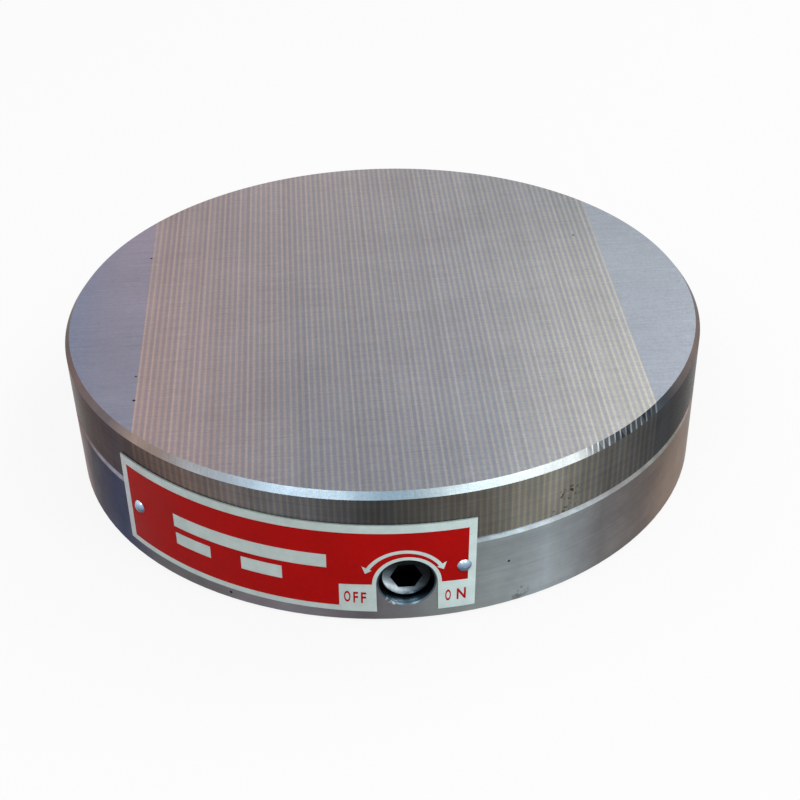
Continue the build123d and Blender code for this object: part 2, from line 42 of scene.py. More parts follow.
# The chuck's radius and heights, and the key shaft at its thickest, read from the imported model
housing_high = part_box("housing")[1]
strips_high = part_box("pole_strips")[1]
shaft_low, shaft_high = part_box("key_shaft")
CHUCK_R = housing_high.x
SEAM_Z = housing_high.z
TOP_Z = strips_high.z
SHAFT_Z = (shaft_low.z + shaft_high.z) / 2
SHAFT_R = (shaft_high.z - shaft_low.z) / 2

# The photograph's camera: pixels, then the sensor in mm, then its place in metres and its axes
IMAGE_SIZE = 800
FOCAL_PIXELS = 1484.876
AXIS_BELOW_MIDDLE = 120
SENSOR_WIDTH = 36.0
CAMERA_PLACE = Vector((-0.018435, -0.412832, 0.284855))
CAMERA_RIGHT = Vector((0.99731347, -0.07031956, -0.02051843))
CAMERA_UP = Vector((0.05976135, 0.6190872, 0.78304509))
CAMERA_BACK = Vector((-0.04236068, -0.78216763, 0.6216264))

# Print on the nameplate, in mm and degrees. Places are along the sheet from the key hole, and
# above the base.
PLATE_TILT = math.radians(1.2)
RED_LEFT_MARGIN = 2.55
RED_RIGHT_MARGIN = 2.25
RED_TOP_MARGIN = 2.8
RED_BOTTOM_MARGIN = 2.0
RED_ARCH_R = 9.75
TAB_LEFT = -18.9
TAB_TOP = 14.3
ARROW_OFFSET = (-0.6, -0.15)
ARROW_TURN = 1.6
ARROW_R = 11.75
ARROW_WIDTH = 1.15
ARROW_END_ANGLE = 31.0
ARROW_TIP_ANGLE = 21.5
BARB_OUTER_R = 13.8
BARB_INNER_R = 10.5
ARC_STEP = 6.0
PRINT_THICKNESS = 0.03
PRINT_LIFT = 0.01
BEND_STEP = 1.5
WELD_DISTANCE = 0.002

# Blank panels on the nameplate: left, right, low and high edge
BLANK_PANELS = [
    (-70.3, -22.2, 19.85, 24.5), (-70.0, -57.6, 13.5, 17.8), (-47.6, -35.1, 13.5, 18.1),
]

# Letters on the nameplate: where their middle is, and their width. The spread thickens their
# strokes, as a share of the font's size.
OFF_LETTERS = [("O", -16.6, 9.6, 1.8), ("F", -14.3, 9.4, 1.35), ("F", -12.1, 9.3, 1.45)]
ON_LETTERS = [("O", 11.7, 9.0, 1.6), ("N", 15.5, 9.0, 2.6)]
LETTER_HEIGHT = 4.0
LETTER_SPREAD = 0.022

# Small marks, in mm: the middle and then the radius. The pits of the face are all at its height.
FACE_PITS = [(-75.6, -34.9, 0.45), (-75.3, -47.8, 0.6), (-75.4, 38.1, 0.5), (67.7, 39.2, 0.5)]
BODY_PITS = [(29.1, -95.7, 15.8, 0.5), (-50.2, -86.5, 2.7, 0.6)]
BODY_SMUDGES = [(33.4, -94.3, 3.2, 2.6), (31.6, -94.9, 1.6, 1.8)]
BORE_GLINTS = [(-5.3, -99.4, 7.6, 1.2), (-3.6, -99.5, 6.8, 1.2)]
SEAM_CRUMBS = [
    (42.0, -90.8, 27.4, 1.6), (45.4, -89.1, 27.4, 1.9), (48.9, -87.2, 27.3, 1.8),
    (46.5, -88.5, 33.0, 4.2),
]
FACE_PIT_COLOUR = (38, 30, 34)
BODY_PIT_COLOUR = (34, 30, 32)
SMUDGE_COLOUR = (76, 78, 82)
SMUDGE_STRENGTH = 0.5
GLINT_COLOUR = (176, 188, 196)
CRUMB_COLOUR = (52, 50, 50)

# The share of a mark's radius that has its full strength
MARK_CORE = 0.55

# A steel strip and the brass beside it, in metres. The brass warms the steel's edges, between these
# distances from the middle of a strip, in pitches.
STRIP_PITCH = 0.0018
SMEAR_TINT = (1.27, 1.17, 1.03)
SMEAR_FROM = 0.17
SMEAR_TO = 0.36

# The upward part of a surface's normal, over which one kind of surface gives way to the next
FACE_UP = (0.85, 0.9)
SEAM_BEVEL_UP = (0.5, 0.6)
RIM_UP = (0.3, 0.4)
UNDERSIDE_UP = (-0.9, -0.6)

# The backward part of its normal, for the shaft's end face
END_FACE_BACK = (-0.9, -0.6)

# Where the bore's and the socket's painted shade ends: distances from the shaft's axis, as shares of
# the shaft's radius, and for the bore also its inner end along Y, as shares of the chuck's radius
BORE_EDGE = (1.14, 1.16)
SOCKET_EDGE = (0.62, 0.66)
BORE_BACK = (-0.9, -0.7)

# Most noise stays between these values
NOISE_LOW = 0.3
NOISE_HIGH = 0.7

# How bright bare steel gets at a flat angle
STEEL_EDGE = 0.45

# The underside's lathe rings
LATHE_SCALE = 900.0
LATHE_WOBBLE = 0.6

# Turned steel round the chuck: degrees to the right of the front, and colour. The colours are the
# steel's own tone with painted reflection, whose bright and dark bands stand for light and shade
# round the chuck. Both ends are alike, because they meet at the back.
FACE_BEVEL = [
    (-150, (140, 140, 144)), (-72, (126, 107, 104)), (-56, (110, 102, 106)), (-48, (152, 134, 126)),
    (-42, (140, 126, 122)), (-36, (160, 163, 169)), (-24, (144, 161, 176)), (-12, (132, 148, 160)),
    (-1, (130, 154, 171)), (7, (170, 186, 192)), (14, (162, 176, 183)), (29, (220, 228, 230)),
    (36, (101, 107, 113)), (52, (68, 74, 80)), (68, (138, 123, 118)), (160, (140, 140, 144)),
]
PLATE_RIM = [
    (-150, (106, 105, 106)), (-82, (140, 114, 102)), (-70, (94, 71, 62)), (-55, (88, 79, 84)),
    (-48, (82, 72, 72)), (-38, (100, 88, 86)), (-20, (92, 93, 98)), (-4, (55, 56, 58)),
    (12, (84, 83, 81)), (23, (124, 125, 121)), (35, (88, 88, 89)), (50, (72, 74, 77)),
    (62, (62, 58, 55)), (78, (106, 96, 90)), (160, (106, 105, 106)),
]
BODY_SIDE = [
    (-150, (116, 116, 120)), (-80, (192, 164, 152)), (-67, (88, 80, 92)), (-56, (75, 80, 104)),
    (-45, (104, 102, 104)), (-32, (100, 96, 100)), (-20, (118, 114, 121)), (-7, (92, 88, 93)),
    (10, (129, 136, 136)), (24, (152, 161, 166)), (35, (114, 113, 114)), (46, (118, 111, 108)),
    (62, (168, 146, 131)), (78, (168, 151, 140)), (160, (116, 116, 120)),
]
SEAM_BEVEL = [
    (-150, (140, 140, 142)), (-80, (120, 98, 90)), (-69, (150, 130, 130)), (-57, (158, 156, 172)),
    (-50, (150, 148, 160)), (13, (116, 126, 132)), (17, (134, 147, 152)), (22, (152, 162, 168)),
    (31, (190, 200, 205)), (36, (168, 170, 172)), (48, (157, 157, 155)), (56, (142, 142, 138)),
    (66, (184, 170, 162)), (80, (150, 136, 128)), (160, (140, 140, 142)),
]

# The nameplate spans only the front, so its ramps end with it. Both ramps are painted light: the
# sheet and the ink get lighter towards the right.
NAMEPLATE_SHEET = [
    (-52, (170, 176, 178)), (-40, (172, 186, 184)), (-15, (172, 186, 183)), (0, (186, 204, 202)),
    (11, (201, 221, 219)),
]
RED_INK = [(-50, (148, 16, 16)), (-20, (155, 6, 5)), (11, (165, 6, 4))]

# The ground face from left to right: mm from the middle, and colour. Its changes from left to right
# and from front to back are painted reflection on the ground steel.
SIDES_BACK = [
    (-98, (146, 146, 166)), (-84, (161, 149, 163)), (-70, (161, 149, 163)), (80, (168, 175, 184)),
]
SIDES_FRONT = [
    (-98, (122, 131, 152)), (-80, (130, 135, 151)), (-70, (133, 137, 152)), (80, (166, 173, 184)),
]
BAND_BACK = [(-75, (156, 145, 151)), (0, (155, 153, 160)), (75, (143, 149, 158))]
BAND_FRONT = [
    (-75, (155, 139, 143)), (-25, (126, 129, 140)), (25, (140, 145, 156)), (75, (185, 188, 190)),
]

# What brass does to the steel's colours: on the face, on the bevel and on the rim
BRASS_TINTS = [(1.36, 1.24, 1.05), (1.0, 0.98, 0.93), (1.38, 1.27, 1.05)]

# The shaft's end face, painted light: from a painted highlight at its lower left to painted shadow
# at its upper right
END_FACE_LIGHT = [
    (0.08, (236, 246, 252)), (0.15, (210, 224, 232)), (0.24, (130, 144, 154)), (0.34, (84, 94, 102)),
    (0.5, (44, 50, 55)), (0.7, (20, 22, 24)),
]
LIGHT_LEAN_RIGHT = 0.51
LIGHT_LEAN_UP = 0.86

# A rivet's domed head from where it faces down to where it faces up: painted light, shaded where it
# faces down and lit where it faces up
RIVET_DOME_LIGHT = [
    (0.0, (38, 50, 62)), (0.4, (88, 106, 126)), (0.7, (146, 170, 194)), (1.0, (206, 224, 238)),
]

# Degrees to the right of the front between which the bevel's reflection breaks up strip by strip,
# and by how much the strips differ there
BREAK_UP_FROM = (30.5, 34.0)
BREAK_UP_TO = (60.0, 80.0)
BREAK_UP_SPREAD = 0.4

# Plain metals: name, colour, roughness, grain in features per metre, and their pieces
PLAIN_METALS = [
    ("black_oxide", (58, 58, 62), 0.42, 900, ["face_plate_screws", "limit_screw", "yoke_screws"]),
    ("zinc_screws", (178, 180, 184), 0.34, 900, ["rail_screws"]),
    ("drive_steel", (142, 142, 146), 0.34, 900, ["drive_yoke"]),
    (
        "bronze", (176, 132, 84), 0.36, 900,
        ["guide_rails", "slide_block", "tie_rods", "tie_rod_nuts"],
    ),
    ("oily_bronze", (62, 58, 52), 0.3, 900, ["shaft_bush"]),
    (
        "milled_aluminium", (188, 190, 193), 0.4, (70, 1500, 1500),
        ["carrier_plate", "left_end_plate", "right_end_plate"],
    ),
    ("soft_iron", (120, 121, 126), 0.4, (1500, 70, 1500), ["pole_pieces"]),
]
DULL_SOLIDS = [
    ("ferrite", (52, 51, 54), 0.6, ["ferrite_magnets"]),
    ("black_rubber", (34, 34, 35), 0.65, ["face_plate_seal", "shaft_seal_ring"]),
]

# The floor, a hair below the chuck, in metres, and how much of its own light the camera sees
FLOOR_Z = -0.0002
FLOOR_HALF = 4.0
FLOOR_COLOUR = (232, 232, 233)
FLOOR_GLOW = 0.86

# The air's strength as light on the chuck, and as seen directly, in gloss or through glass
AIR_LIGHT = 0.6
AIR_SEEN = 1.0

# Soft boxes: name, place and size in metres, and power in watts
SOFT_BOXES = [
    ("left_soft_box", (-0.49, -0.76, 1.0), 0.6, 4),
    ("right_soft_box", (0.58, -0.69, 1.0), 0.6, 4),
    ("rear_soft_box", (0.85, 0.6, 0.85), 0.7, 4),
]
LIT_PLACE = (0, 0, 0.02)


def srgb(red, green, blue):
    """An 8-bit screen colour as the linear colour that shaders take."""
    linear = []
    for value in (red, green, blue):
        share = value / 255
        linear.append(share / 12.92 if share <= 0.04045 else ((share + 0.055) / 1.055) ** 2.4)
    return (*linear, 1.0)


class Finish:
    """A material and its node tree, with short calls for the nodes used here.

    A value is a socket, or a plain number or colour.
    """

    def __init__(self, name):
        self.material = bpy.data.materials.new(name)
        self.material.use_nodes = True
        self.tree = self.material.node_tree
        self.shader = self.tree.nodes["Principled BSDF"]
        self.place = self.node("ShaderNodeTexCoord").outputs["Object"]
        geometry = self.node("ShaderNodeNewGeometry")
        self.normal = geometry.outputs["Normal"]
        self.strip_number = geometry.outputs["Random Per Island"]

    def node(self, kind, **settings):
        made = self.tree.nodes.new(kind)
        for name, value in settings.items():
            setattr(made, name, value)
        return made

    def wire(self, value, socket):
        """Links a socket, or sets a plain number or colour."""
        if isinstance(value, bpy.types.NodeSocket):
            self.tree.links.new(value, socket)
        else:
            socket.default_value = value

    def math(self, operation, first, second=0.0):
        made = self.node("ShaderNodeMath", operation=operation)
        self.wire(first, made.inputs[0])
        self.wire(second, made.inputs[1])
        return made.outputs[0]

    def add(self, first, second):
        return self.math("ADD", first, second)

    def multiply(self, first, *others):
        for other in others:
            first = self.math("MULTIPLY", first, other)
        return first

    def stretched(self, scale):
        """The object's own coordinates, scaled on each axis."""
        made = self.node("ShaderNodeMapping")
        self.wire(self.place, made.inputs["Vector"])
        made.inputs["Scale"].default_value = scale
        return made.outputs["Vector"]

    def noise(self, scale, detail=4.0, roughness=0.55, offset=0.0):
        """Noise. The scale is in features per metre, one number or one for each axis.

        The offset moves the pattern, so that two noises of one scale don't coincide.
        """
        if not isinstance(scale, tuple):
            scale = (scale, scale, scale)
        made = self.node("ShaderNodeTexNoise")
        vector = self.node("ShaderNodeVectorMath", operation="ADD")
        self.wire(self.stretched(scale), vector.inputs[0])
        vector.inputs[1].default_value = (offset, offset, offset)
        self.wire(vector.outputs[0], made.inputs["Vector"])
        made.inputs["Scale"].default_value = 1.0
        made.inputs["Detail"].default_value = detail
        made.inputs["Roughness"].default_value = roughness
        return made.outputs["Fac"]

    def range(self, value, low, high, out_low=0.0, out_high=1.0):
        """Goes from out_low to out_high while the value goes from low to high, and stays there."""
        made = self.node("ShaderNodeMapRange", clamp=True)
        self.wire(value, made.inputs["Value"])
        made.inputs["From Min"].default_value = low
        made.inputs["From Max"].default_value = high
        made.inputs["To Min"].default_value = out_low
        made.inputs["To Max"].default_value = out_high
        return made.outputs["Result"]

    def fade(self, value, low, high):
        """1 up to low, and from there down to 0 at high."""
        return self.range(value, low, high, 1.0, 0.0)

    def vary(self, noise, low, high):
        """Spreads noise from low to high."""
        return self.range(noise, NOISE_LOW, NOISE_HIGH, low, high)

    def axis(self, vector, name):
        made = self.node("ShaderNodeSeparateXYZ")
        self.wire(vector, made.inputs[0])
        return made.outputs[name]

    def across(self, stops):
        """Colours from left to right, from (x in mm, colour) pairs."""
        places = [(0.5 + x * MM / CHUCK_R / 2, colour) for x, colour in stops]
        return self.ramp(self.range(self.axis(self.place, "X"), -CHUCK_R, CHUCK_R), places)

    def turn(self):
        """The angle to the right of the front, in radians."""
        depth = self.multiply(self.axis(self.place, "Y"), -1.0)
        return self.math("ARCTAN2", self.axis(self.place, "X"), depth)

    def around(self, stops):
        """Colours round the chuck, from (degrees to the right of the front, colour) pairs."""
        places = [(0.5 + angle / 360, colour) for angle, colour in stops]
        return self.ramp(self.range(self.turn(), -math.pi, math.pi), places)

    def ramp(self, value, stops):
        """Colours along a 0 to 1 value, from (place, colour) pairs."""
        made = self.node("ShaderNodeValToRGB")
        self.wire(value, made.inputs["Fac"])
        elements = made.color_ramp.elements
        while len(elements) < len(stops):
            elements.new(0.5)
        for element, (place, colour) in zip(elements, stops):
            element.position = place
            element.color = srgb(*colour)
        return made.outputs["Color"]

    def mix(self, share, first, second, blend="MIX"):
        made = self.node("ShaderNodeMix", data_type="RGBA", blend_type=blend)
        self.wire(share, made.inputs["Factor"])
        self.wire(first, made.inputs[6])
        self.wire(second, made.inputs[7])
        return made.outputs[2]

    def shade(self, colour, value):
        """Multiplies a colour by a number."""
        grey = self.node("ShaderNodeCombineXYZ")
        for socket in grey.inputs:
            self.wire(value, socket)
        return self.mix(1.0, colour, grey.outputs[0], "MULTIPLY")

    def tint(self, colour, factors):
        """Multiplies a colour's red, green and blue by their own numbers."""
        return self.mix(1.0, colour, (*factors, 1.0), "MULTIPLY")

    def from_shaft(self):
        """How far a point is from the key shaft's axis."""
        made = self.node("ShaderNodeVectorMath", operation="DISTANCE")
        self.wire(self.stretched((1, 0, 1)), made.inputs[0])
        made.inputs[1].default_value = (0, 0, SHAFT_Z)
        return made.outputs["Value"]

    def spot(self, x, y, z, radius):
        """1 inside a small ball and 0 outside, with a soft edge. Sizes are in mm."""
        made = self.node("ShaderNodeVectorMath", operation="DISTANCE")
        self.wire(self.place, made.inputs[0])
        made.inputs[1].default_value = (x * MM, y * MM, z * MM)
        return self.fade(made.outputs["Value"], MARK_CORE * radius * MM, radius * MM)

    def bump(self, height, depth_mm, strength):
        made = self.node("ShaderNodeBump")
        made.inputs["Strength"].default_value = strength
        made.inputs["Distance"].default_value = depth_mm * MM
        self.wire(height, made.inputs["Height"])
        self.wire(made.outputs["Normal"], self.shader.inputs["Normal"])

    def surface(self, colour, metallic, roughness, specular=0.5, edge=1.0):
        """Sets the shader. A lower edge darkens metal that is seen at a flat angle."""
        self.wire(colour, self.shader.inputs["Base Color"])
        self.shader.inputs["Specular Tint"].default_value = (edge, edge, edge, 1.0)
        self.wire(metallic, self.shader.inputs["Metallic"])
        self.wire(roughness, self.shader.inputs["Roughness"])
        self.shader.inputs["Specular IOR Level"].default_value = specular
        return self.material


def seam_crumbs(finish, colour):
    """Dark grit caught in the seam right of the front, and a few specks above it."""
    specks = finish.range(finish.noise((700, 700, 600), detail=3, offset=12), 0.55, 0.61)
    for mark in SEAM_CRUMBS:
        crumbs = finish.multiply(finish.spot(*mark), specks)
        colour = finish.mix(crumbs, colour, srgb(*CRUMB_COLOUR))
    return colour


def smear_brass(finish, colour):
    """Warms the edges of the steel strips, where grinding has dragged brass over them.

    A steel strip is centred on the chuck's middle, so the others are whole pitches away.
    """
    pitches = finish.math("DIVIDE", finish.axis(finish.place, "X"), STRIP_PITCH)
    across_strip = finish.math("FRACT", finish.add(pitches, 0.5))
    off_middle = finish.math("ABSOLUTE", finish.math("SUBTRACT", across_strip, 0.5))
    smear = finish.range(off_middle, SMEAR_FROM, SMEAR_TO)
    return finish.mix(smear, colour, finish.tint(colour, SMEAR_TINT))


def broken_reflection(finish, middle_tone):
    """The bevel's tone where each strip reflects something else, and 1 where it is unbroken."""
    turn = finish.turn()
    starts = finish.range(turn, *[math.radians(angle) for angle in BREAK_UP_FROM])
    ends = finish.fade(turn, *[math.radians(angle) for angle in BREAK_UP_TO])
    lowest = (1 - BREAK_UP_SPREAD) * middle_tone
    highest = (1 + BREAK_UP_SPREAD) * middle_tone
    strip_tone = finish.range(finish.strip_number, 0.0, 1.0, lowest - 1, highest - 1)
    return finish.add(finish.multiply(starts, ends, strip_tone), 1.0)


def ground_plate(name, back_face, front_face, tints=None, strip_spread=0.0, broken_tone=1.0):
    """Ground face, turned bevel and turned rim. The bevel's brightness and the rim's dullness, and
    their changes round the chuck, are painted reflection.

    The face goes from the colours of front_face to those of back_face. tints are for brass.
    strip_spread is how much one strip differs from the next, and 0 for a plate without strips.
    broken_tone is the bevel's tone where its reflection breaks up.
    """
    finish = Finish(name)
    strokes = finish.noise((70, 2300, 70), detail=3)
    clouds = finish.noise((24, 30, 24), detail=3, offset=4)
    grain = finish.noise(1500, detail=2, offset=9)
    rings = finish.noise((30, 30, 1500), detail=3, offset=2)
    smears = finish.noise((160, 160, 45), detail=4, offset=7)

    to_back = finish.range(finish.axis(finish.place, "Y"), -CHUCK_R, CHUCK_R)
    face_colour = finish.mix(to_back, finish.across(front_face), finish.across(back_face))
    face_tone = finish.add(finish.vary(strokes, 0.92, 1.08), finish.vary(grain, -0.08, 0.08))
    face_tone = finish.multiply(face_tone, finish.vary(clouds, 0.95, 1.05))
    face_colour = finish.shade(face_colour, face_tone)

    bevel_tone = finish.vary(finish.noise(200, detail=2, offset=5), 0.93, 1.07)
    if strip_spread:
        bevel_tone = finish.multiply(bevel_tone, broken_reflection(finish, broken_tone))
    bevel_colour = finish.shade(finish.around(FACE_BEVEL), bevel_tone)

    smear_tone = finish.range(smears, 0.3, 0.75, 0.85, 1.18)
    rim_tone = finish.multiply(finish.vary(rings, 0.9, 1.1), smear_tone)
    rim_colour = finish.shade(finish.around(PLATE_RIM), rim_tone)

    if tints:
        face_colour = finish.tint(face_colour, tints[0])
        bevel_colour = finish.tint(bevel_colour, tints[1])
        rim_colour = finish.tint(rim_colour, tints[2])
    elif strip_spread:
        face_colour = smear_brass(finish, face_colour)
        rim_colour = smear_brass(finish, rim_colour)

    up = finish.axis(finish.normal, "Z")
    face = finish.range(up, *FACE_UP)
    rim = finish.fade(finish.math("ABSOLUTE", up), *RIM_UP)
    colour = finish.mix(face, bevel_colour, face_colour)
    colour = finish.mix(rim, colour, rim_colour)
    if strip_spread:
        strip_tone = finish.range(finish.strip_number, 0.0, 1.0, 1 - strip_spread, 1 + strip_spread)
        colour = finish.shade(colour, strip_tone)

    for x, y, radius in FACE_PITS:
        colour = finish.mix(finish.spot(x, y, TOP_Z / MM, radius), colour, srgb(*FACE_PIT_COLOUR))
    colour = seam_crumbs(finish, colour)

    roughness = finish.add(finish.range(face, 0.0, 1.0, 0.28, 0.4), finish.vary(grain, -0.04, 0.06))
    finish.bump(finish.add(strokes, rings), 0.02, 0.35)
    return finish.surface(colour, 1.0, roughness, edge=STEEL_EDGE)


def lathe_turned(finish):
    """The underside's rings."""
    lathe = finish.node("ShaderNodeTexWave", wave_type="RINGS", rings_direction="Z")
    finish.wire(finish.stretched((1, 1, 0)), lathe.inputs["Vector"])
    lathe.inputs["Scale"].default_value = LATHE_SCALE
    lathe.inputs["Distortion"].default_value = LATHE_WOBBLE
    tone = finish.range(lathe.outputs["Fac"], 0.0, 1.0, 0.86, 1.1)
    return finish.shade(srgb(126, 126, 130), tone)


def housing_steel():
    """Turned body: fine rings, scratches, painted reflections round its side and its bevel at the
    seam, and an oily key bore with painted shade and painted glints.
    """
    finish = Finish("turned_body_steel")
    up = finish.axis(finish.normal, "Z")
    height = finish.axis(finish.place, "Z")

    rings = finish.noise((20, 20, 1800), detail=3)
    blotches = finish.noise((45, 45, 70), detail=5, roughness=0.6, offset=3)
    grime = finish.noise(130, detail=6, roughness=0.65, offset=8)
    tone = finish.multiply(
        finish.vary(rings, 0.93, 1.07),
        finish.vary(blotches, 0.88, 1.12),
        finish.range(grime, 0.35, 0.7, 1.05, 0.92),
        finish.range(height, 0.0, SEAM_Z, 1.06, 0.92),
    )
    side = finish.shade(finish.around(BODY_SIDE), tone)

    scratch_lines = finish.noise((90, 90, 900), detail=2, roughness=0.4, offset=11)
    scratches = finish.multiply(
        finish.range(scratch_lines, 0.66, 0.7), finish.range(blotches, 0.45, 0.6), 0.08
    )
    side = finish.mix(scratches, side, srgb(196, 198, 202))

    glints = finish.noise(240, detail=4, offset=6)
    bevel_tone = finish.multiply(
        finish.range(glints, 0.35, 0.65, 0.8, 1.12),
        finish.range(height, SEAM_Z - 1.3 * MM, SEAM_Z - 0.5 * MM, 0.8, 1.12),
    )
    seam_bevel = finish.shade(finish.around(SEAM_BEVEL), bevel_tone)
    colour = finish.mix(finish.range(up, *SEAM_BEVEL_UP), side, seam_bevel)
    colour = seam_crumbs(finish, colour)
    colour = finish.mix(finish.fade(up, *UNDERSIDE_UP), colour, lathe_turned(finish))

    for mark in BODY_PITS:
        colour = finish.mix(finish.spot(*mark), colour, srgb(*BODY_PIT_COLOUR))
    smears = finish.range(finish.noise(420, detail=3, offset=2), 0.46, 0.56)
    for mark in BODY_SMUDGES:
        smudge = finish.multiply(finish.spot(*mark), smears, SMUDGE_STRENGTH)
        colour = finish.mix(smudge, colour, srgb(*SMUDGE_COLOUR))

    # The key bore's own wall is wet with oil, so glossier, and painted dark as shade, darkest from
    # the shaft's axis up. Painted glints on its lip stand for the light it catches.
    near_shaft = finish.fade(finish.from_shaft(), *[share * SHAFT_R for share in BORE_EDGE])
    front = finish.fade(finish.axis(finish.place, "Y"), *[share * CHUCK_R for share in BORE_BACK])
    in_bore = finish.multiply(near_shaft, front)
    bore_shade = finish.range(height, SHAFT_Z - SHAFT_R, SHAFT_Z, 1.0, 0.25)
    colour = finish.mix(in_bore, colour, finish.shade(srgb(84, 102, 113), bore_shade))
    flecks = finish.range(finish.noise(900, detail=2, offset=14), 0.48, 0.58)
    for mark in BORE_GLINTS:
        glint = finish.multiply(finish.spot(*mark), flecks)
        colour = finish.mix(glint, colour, srgb(*GLINT_COLOUR))

    wet = finish.range(in_bore, 0.0, 1.0, 0.0, -0.12)
    roughness = finish.add(finish.vary(grime, 0.3, 0.42), wet)
    finish.bump(finish.add(rings, finish.multiply(grime, 0.6)), 0.03, 0.35)
    return finish.surface(colour, 1.0, roughness, edge=STEEL_EDGE)


def shaft_steel():
    """Oiled steel. The end face has a painted highlight at its lower left and painted shadow over
    the rest, and the socket's wall is painted dark as shade.
    """
    finish = Finish("oiled_shaft_steel")
    sideways = finish.axis(finish.place, "X")
    above = finish.math("SUBTRACT", finish.axis(finish.place, "Z"), SHAFT_Z)
    lean = finish.add(finish.multiply(sideways, LIGHT_LEAN_RIGHT), finish.multiply(above, LIGHT_LEAN_UP))
    fine = finish.noise(1200, detail=3)
    smears = finish.noise(420, detail=4, offset=5)
    smear_tone = finish.range(smears, 0.35, 0.65, 0.8, 1.2)
    tone = finish.multiply(finish.vary(fine, 0.85, 1.15), smear_tone)

    # The end face's ramp is painted light: a painted highlight at the lower left and painted shadow
    # towards the upper right
    lit_end = finish.ramp(finish.range(lean, -SHAFT_R, SHAFT_R), END_FACE_LIGHT)
    end_face = finish.fade(finish.axis(finish.normal, "Y"), *END_FACE_BACK)
    in_socket = finish.fade(finish.from_shaft(), *[share * SHAFT_R for share in SOCKET_EDGE])
    socket_wall = finish.multiply(in_socket, finish.fade(end_face, 0.0, 1.0))
    colour = finish.mix(end_face, srgb(112, 114, 119), lit_end)
    # The socket's wall is painted near black: painted shade inside the recess
    colour = finish.mix(socket_wall, colour, srgb(22, 26, 29))
    finish.bump(smears, 0.03, 0.4)
    return finish.surface(finish.shade(colour, tone), 1.0, finish.vary(smears, 0.22, 0.36))


def plain_metal(name, colour, roughness, grain):
    """A metal with a fine grain, cloudy tone and gloss that varies a little with wear."""
    finish = Finish(name)
    fine = finish.noise(grain, detail=3)
    clouds = finish.noise(90, detail=4, offset=5)
    tone = finish.multiply(finish.vary(fine, 0.88, 1.12), finish.vary(clouds, 0.92, 1.08))
    finish.bump(fine, 0.02, 0.3)
    gloss = finish.vary(clouds, roughness - 0.05, roughness + 0.07)
    return finish.surface(finish.shade(srgb(*colour), tone), 1.0, gloss)


def dull_solid(name, colour, roughness):
    """Rubber or ferrite: a dull, slightly mottled solid."""
    finish = Finish(name)
    mottle = finish.noise(700, detail=4)
    finish.bump(mottle, 0.05, 0.4)
    mottled = finish.shade(srgb(*colour), finish.vary(mottle, 0.8, 1.2))
    return finish.surface(mottled, 0.0, roughness, 0.3)


def nameplate_metal():
    """Pale satin aluminium sheet with faint handling marks. Painted light makes it lighter towards
    the right.
    """
    finish = Finish("nameplate_metal")
    brushed = finish.noise((60, 60, 1900), detail=3)
    marks = finish.noise(210, detail=5, roughness=0.6, offset=3)
    mark_tone = finish.range(marks, 0.35, 0.7, 1.04, 0.9)
    tone = finish.multiply(finish.vary(brushed, 0.97, 1.03), mark_tone)
    finish.bump(brushed, 0.01, 0.25)
    sheet = finish.shade(finish.around(NAMEPLATE_SHEET), tone)
    return finish.surface(sheet, 0.35, finish.vary(marks, 0.4, 0.55))


def red_ink():
    """Screen-printed enamel, a little uneven and rubbed. Painted light makes it redder and lighter
    towards the right.
    """
    finish = Finish("red_print")
    clouds = finish.noise((70, 70, 90), detail=4)
    specks = finish.noise(900, detail=2, offset=6)
    tone = finish.multiply(finish.vary(clouds, 0.92, 1.08), finish.vary(specks, 0.96, 1.05))
    finish.bump(specks, 0.01, 0.3)
    ink = finish.shade(finish.around(RED_INK), tone)
    return finish.surface(ink, 0.0, finish.vary(clouds, 0.45, 0.55), 0.05)


def rivet_metal():
    """Bright drive rivets, painted light: lighter where they face up and painted shade where they
    face down.
    """
    finish = Finish("rivet_aluminium")
    grain = finish.noise(900, detail=3)
    lit_dome = finish.ramp(finish.range(finish.axis(finish.normal, "Z"), -0.8, 0.9), RIVET_DOME_LIGHT)
    finish.bump(grain, 0.02, 0.3)
    return finish.surface(finish.shade(lit_dome, finish.vary(grain, 0.9, 1.1)), 1.0, 0.26)


def use(material, nodes):
    """Gives CAD pieces, in all their slots, one material."""
    for name in nodes:
        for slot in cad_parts[name].material_slots:
            slot.material = material


def dress_cad_pieces():
    sides = ground_plate("plate_side_steel", SIDES_BACK, SIDES_FRONT)
    steel = ground_plate("band_strip_steel", BAND_BACK, BAND_FRONT, None, 0.05, 0.5)
    brass = ground_plate("band_strip_brass", BAND_BACK, BAND_FRONT, BRASS_TINTS, 0.08, 1.9)
    use(sides, ["face_plate_left_side", "face_plate_right_side"])
    use(steel, ["pole_strips"])
    use(brass, ["brass_strips"])
    use(housing_steel(), ["housing"])
    use(nameplate_metal(), ["nameplate"])
    use(rivet_metal(), ["nameplate_rivets"])
    use(shaft_steel(), ["key_shaft"])
    for name, colour, roughness, grain, nodes in PLAIN_METALS:
        use(plain_metal(name, colour, roughness, grain), nodes)
    for name, colour, roughness, nodes in DULL_SOLIDS:
        use(dull_solid(name, colour, roughness), nodes)


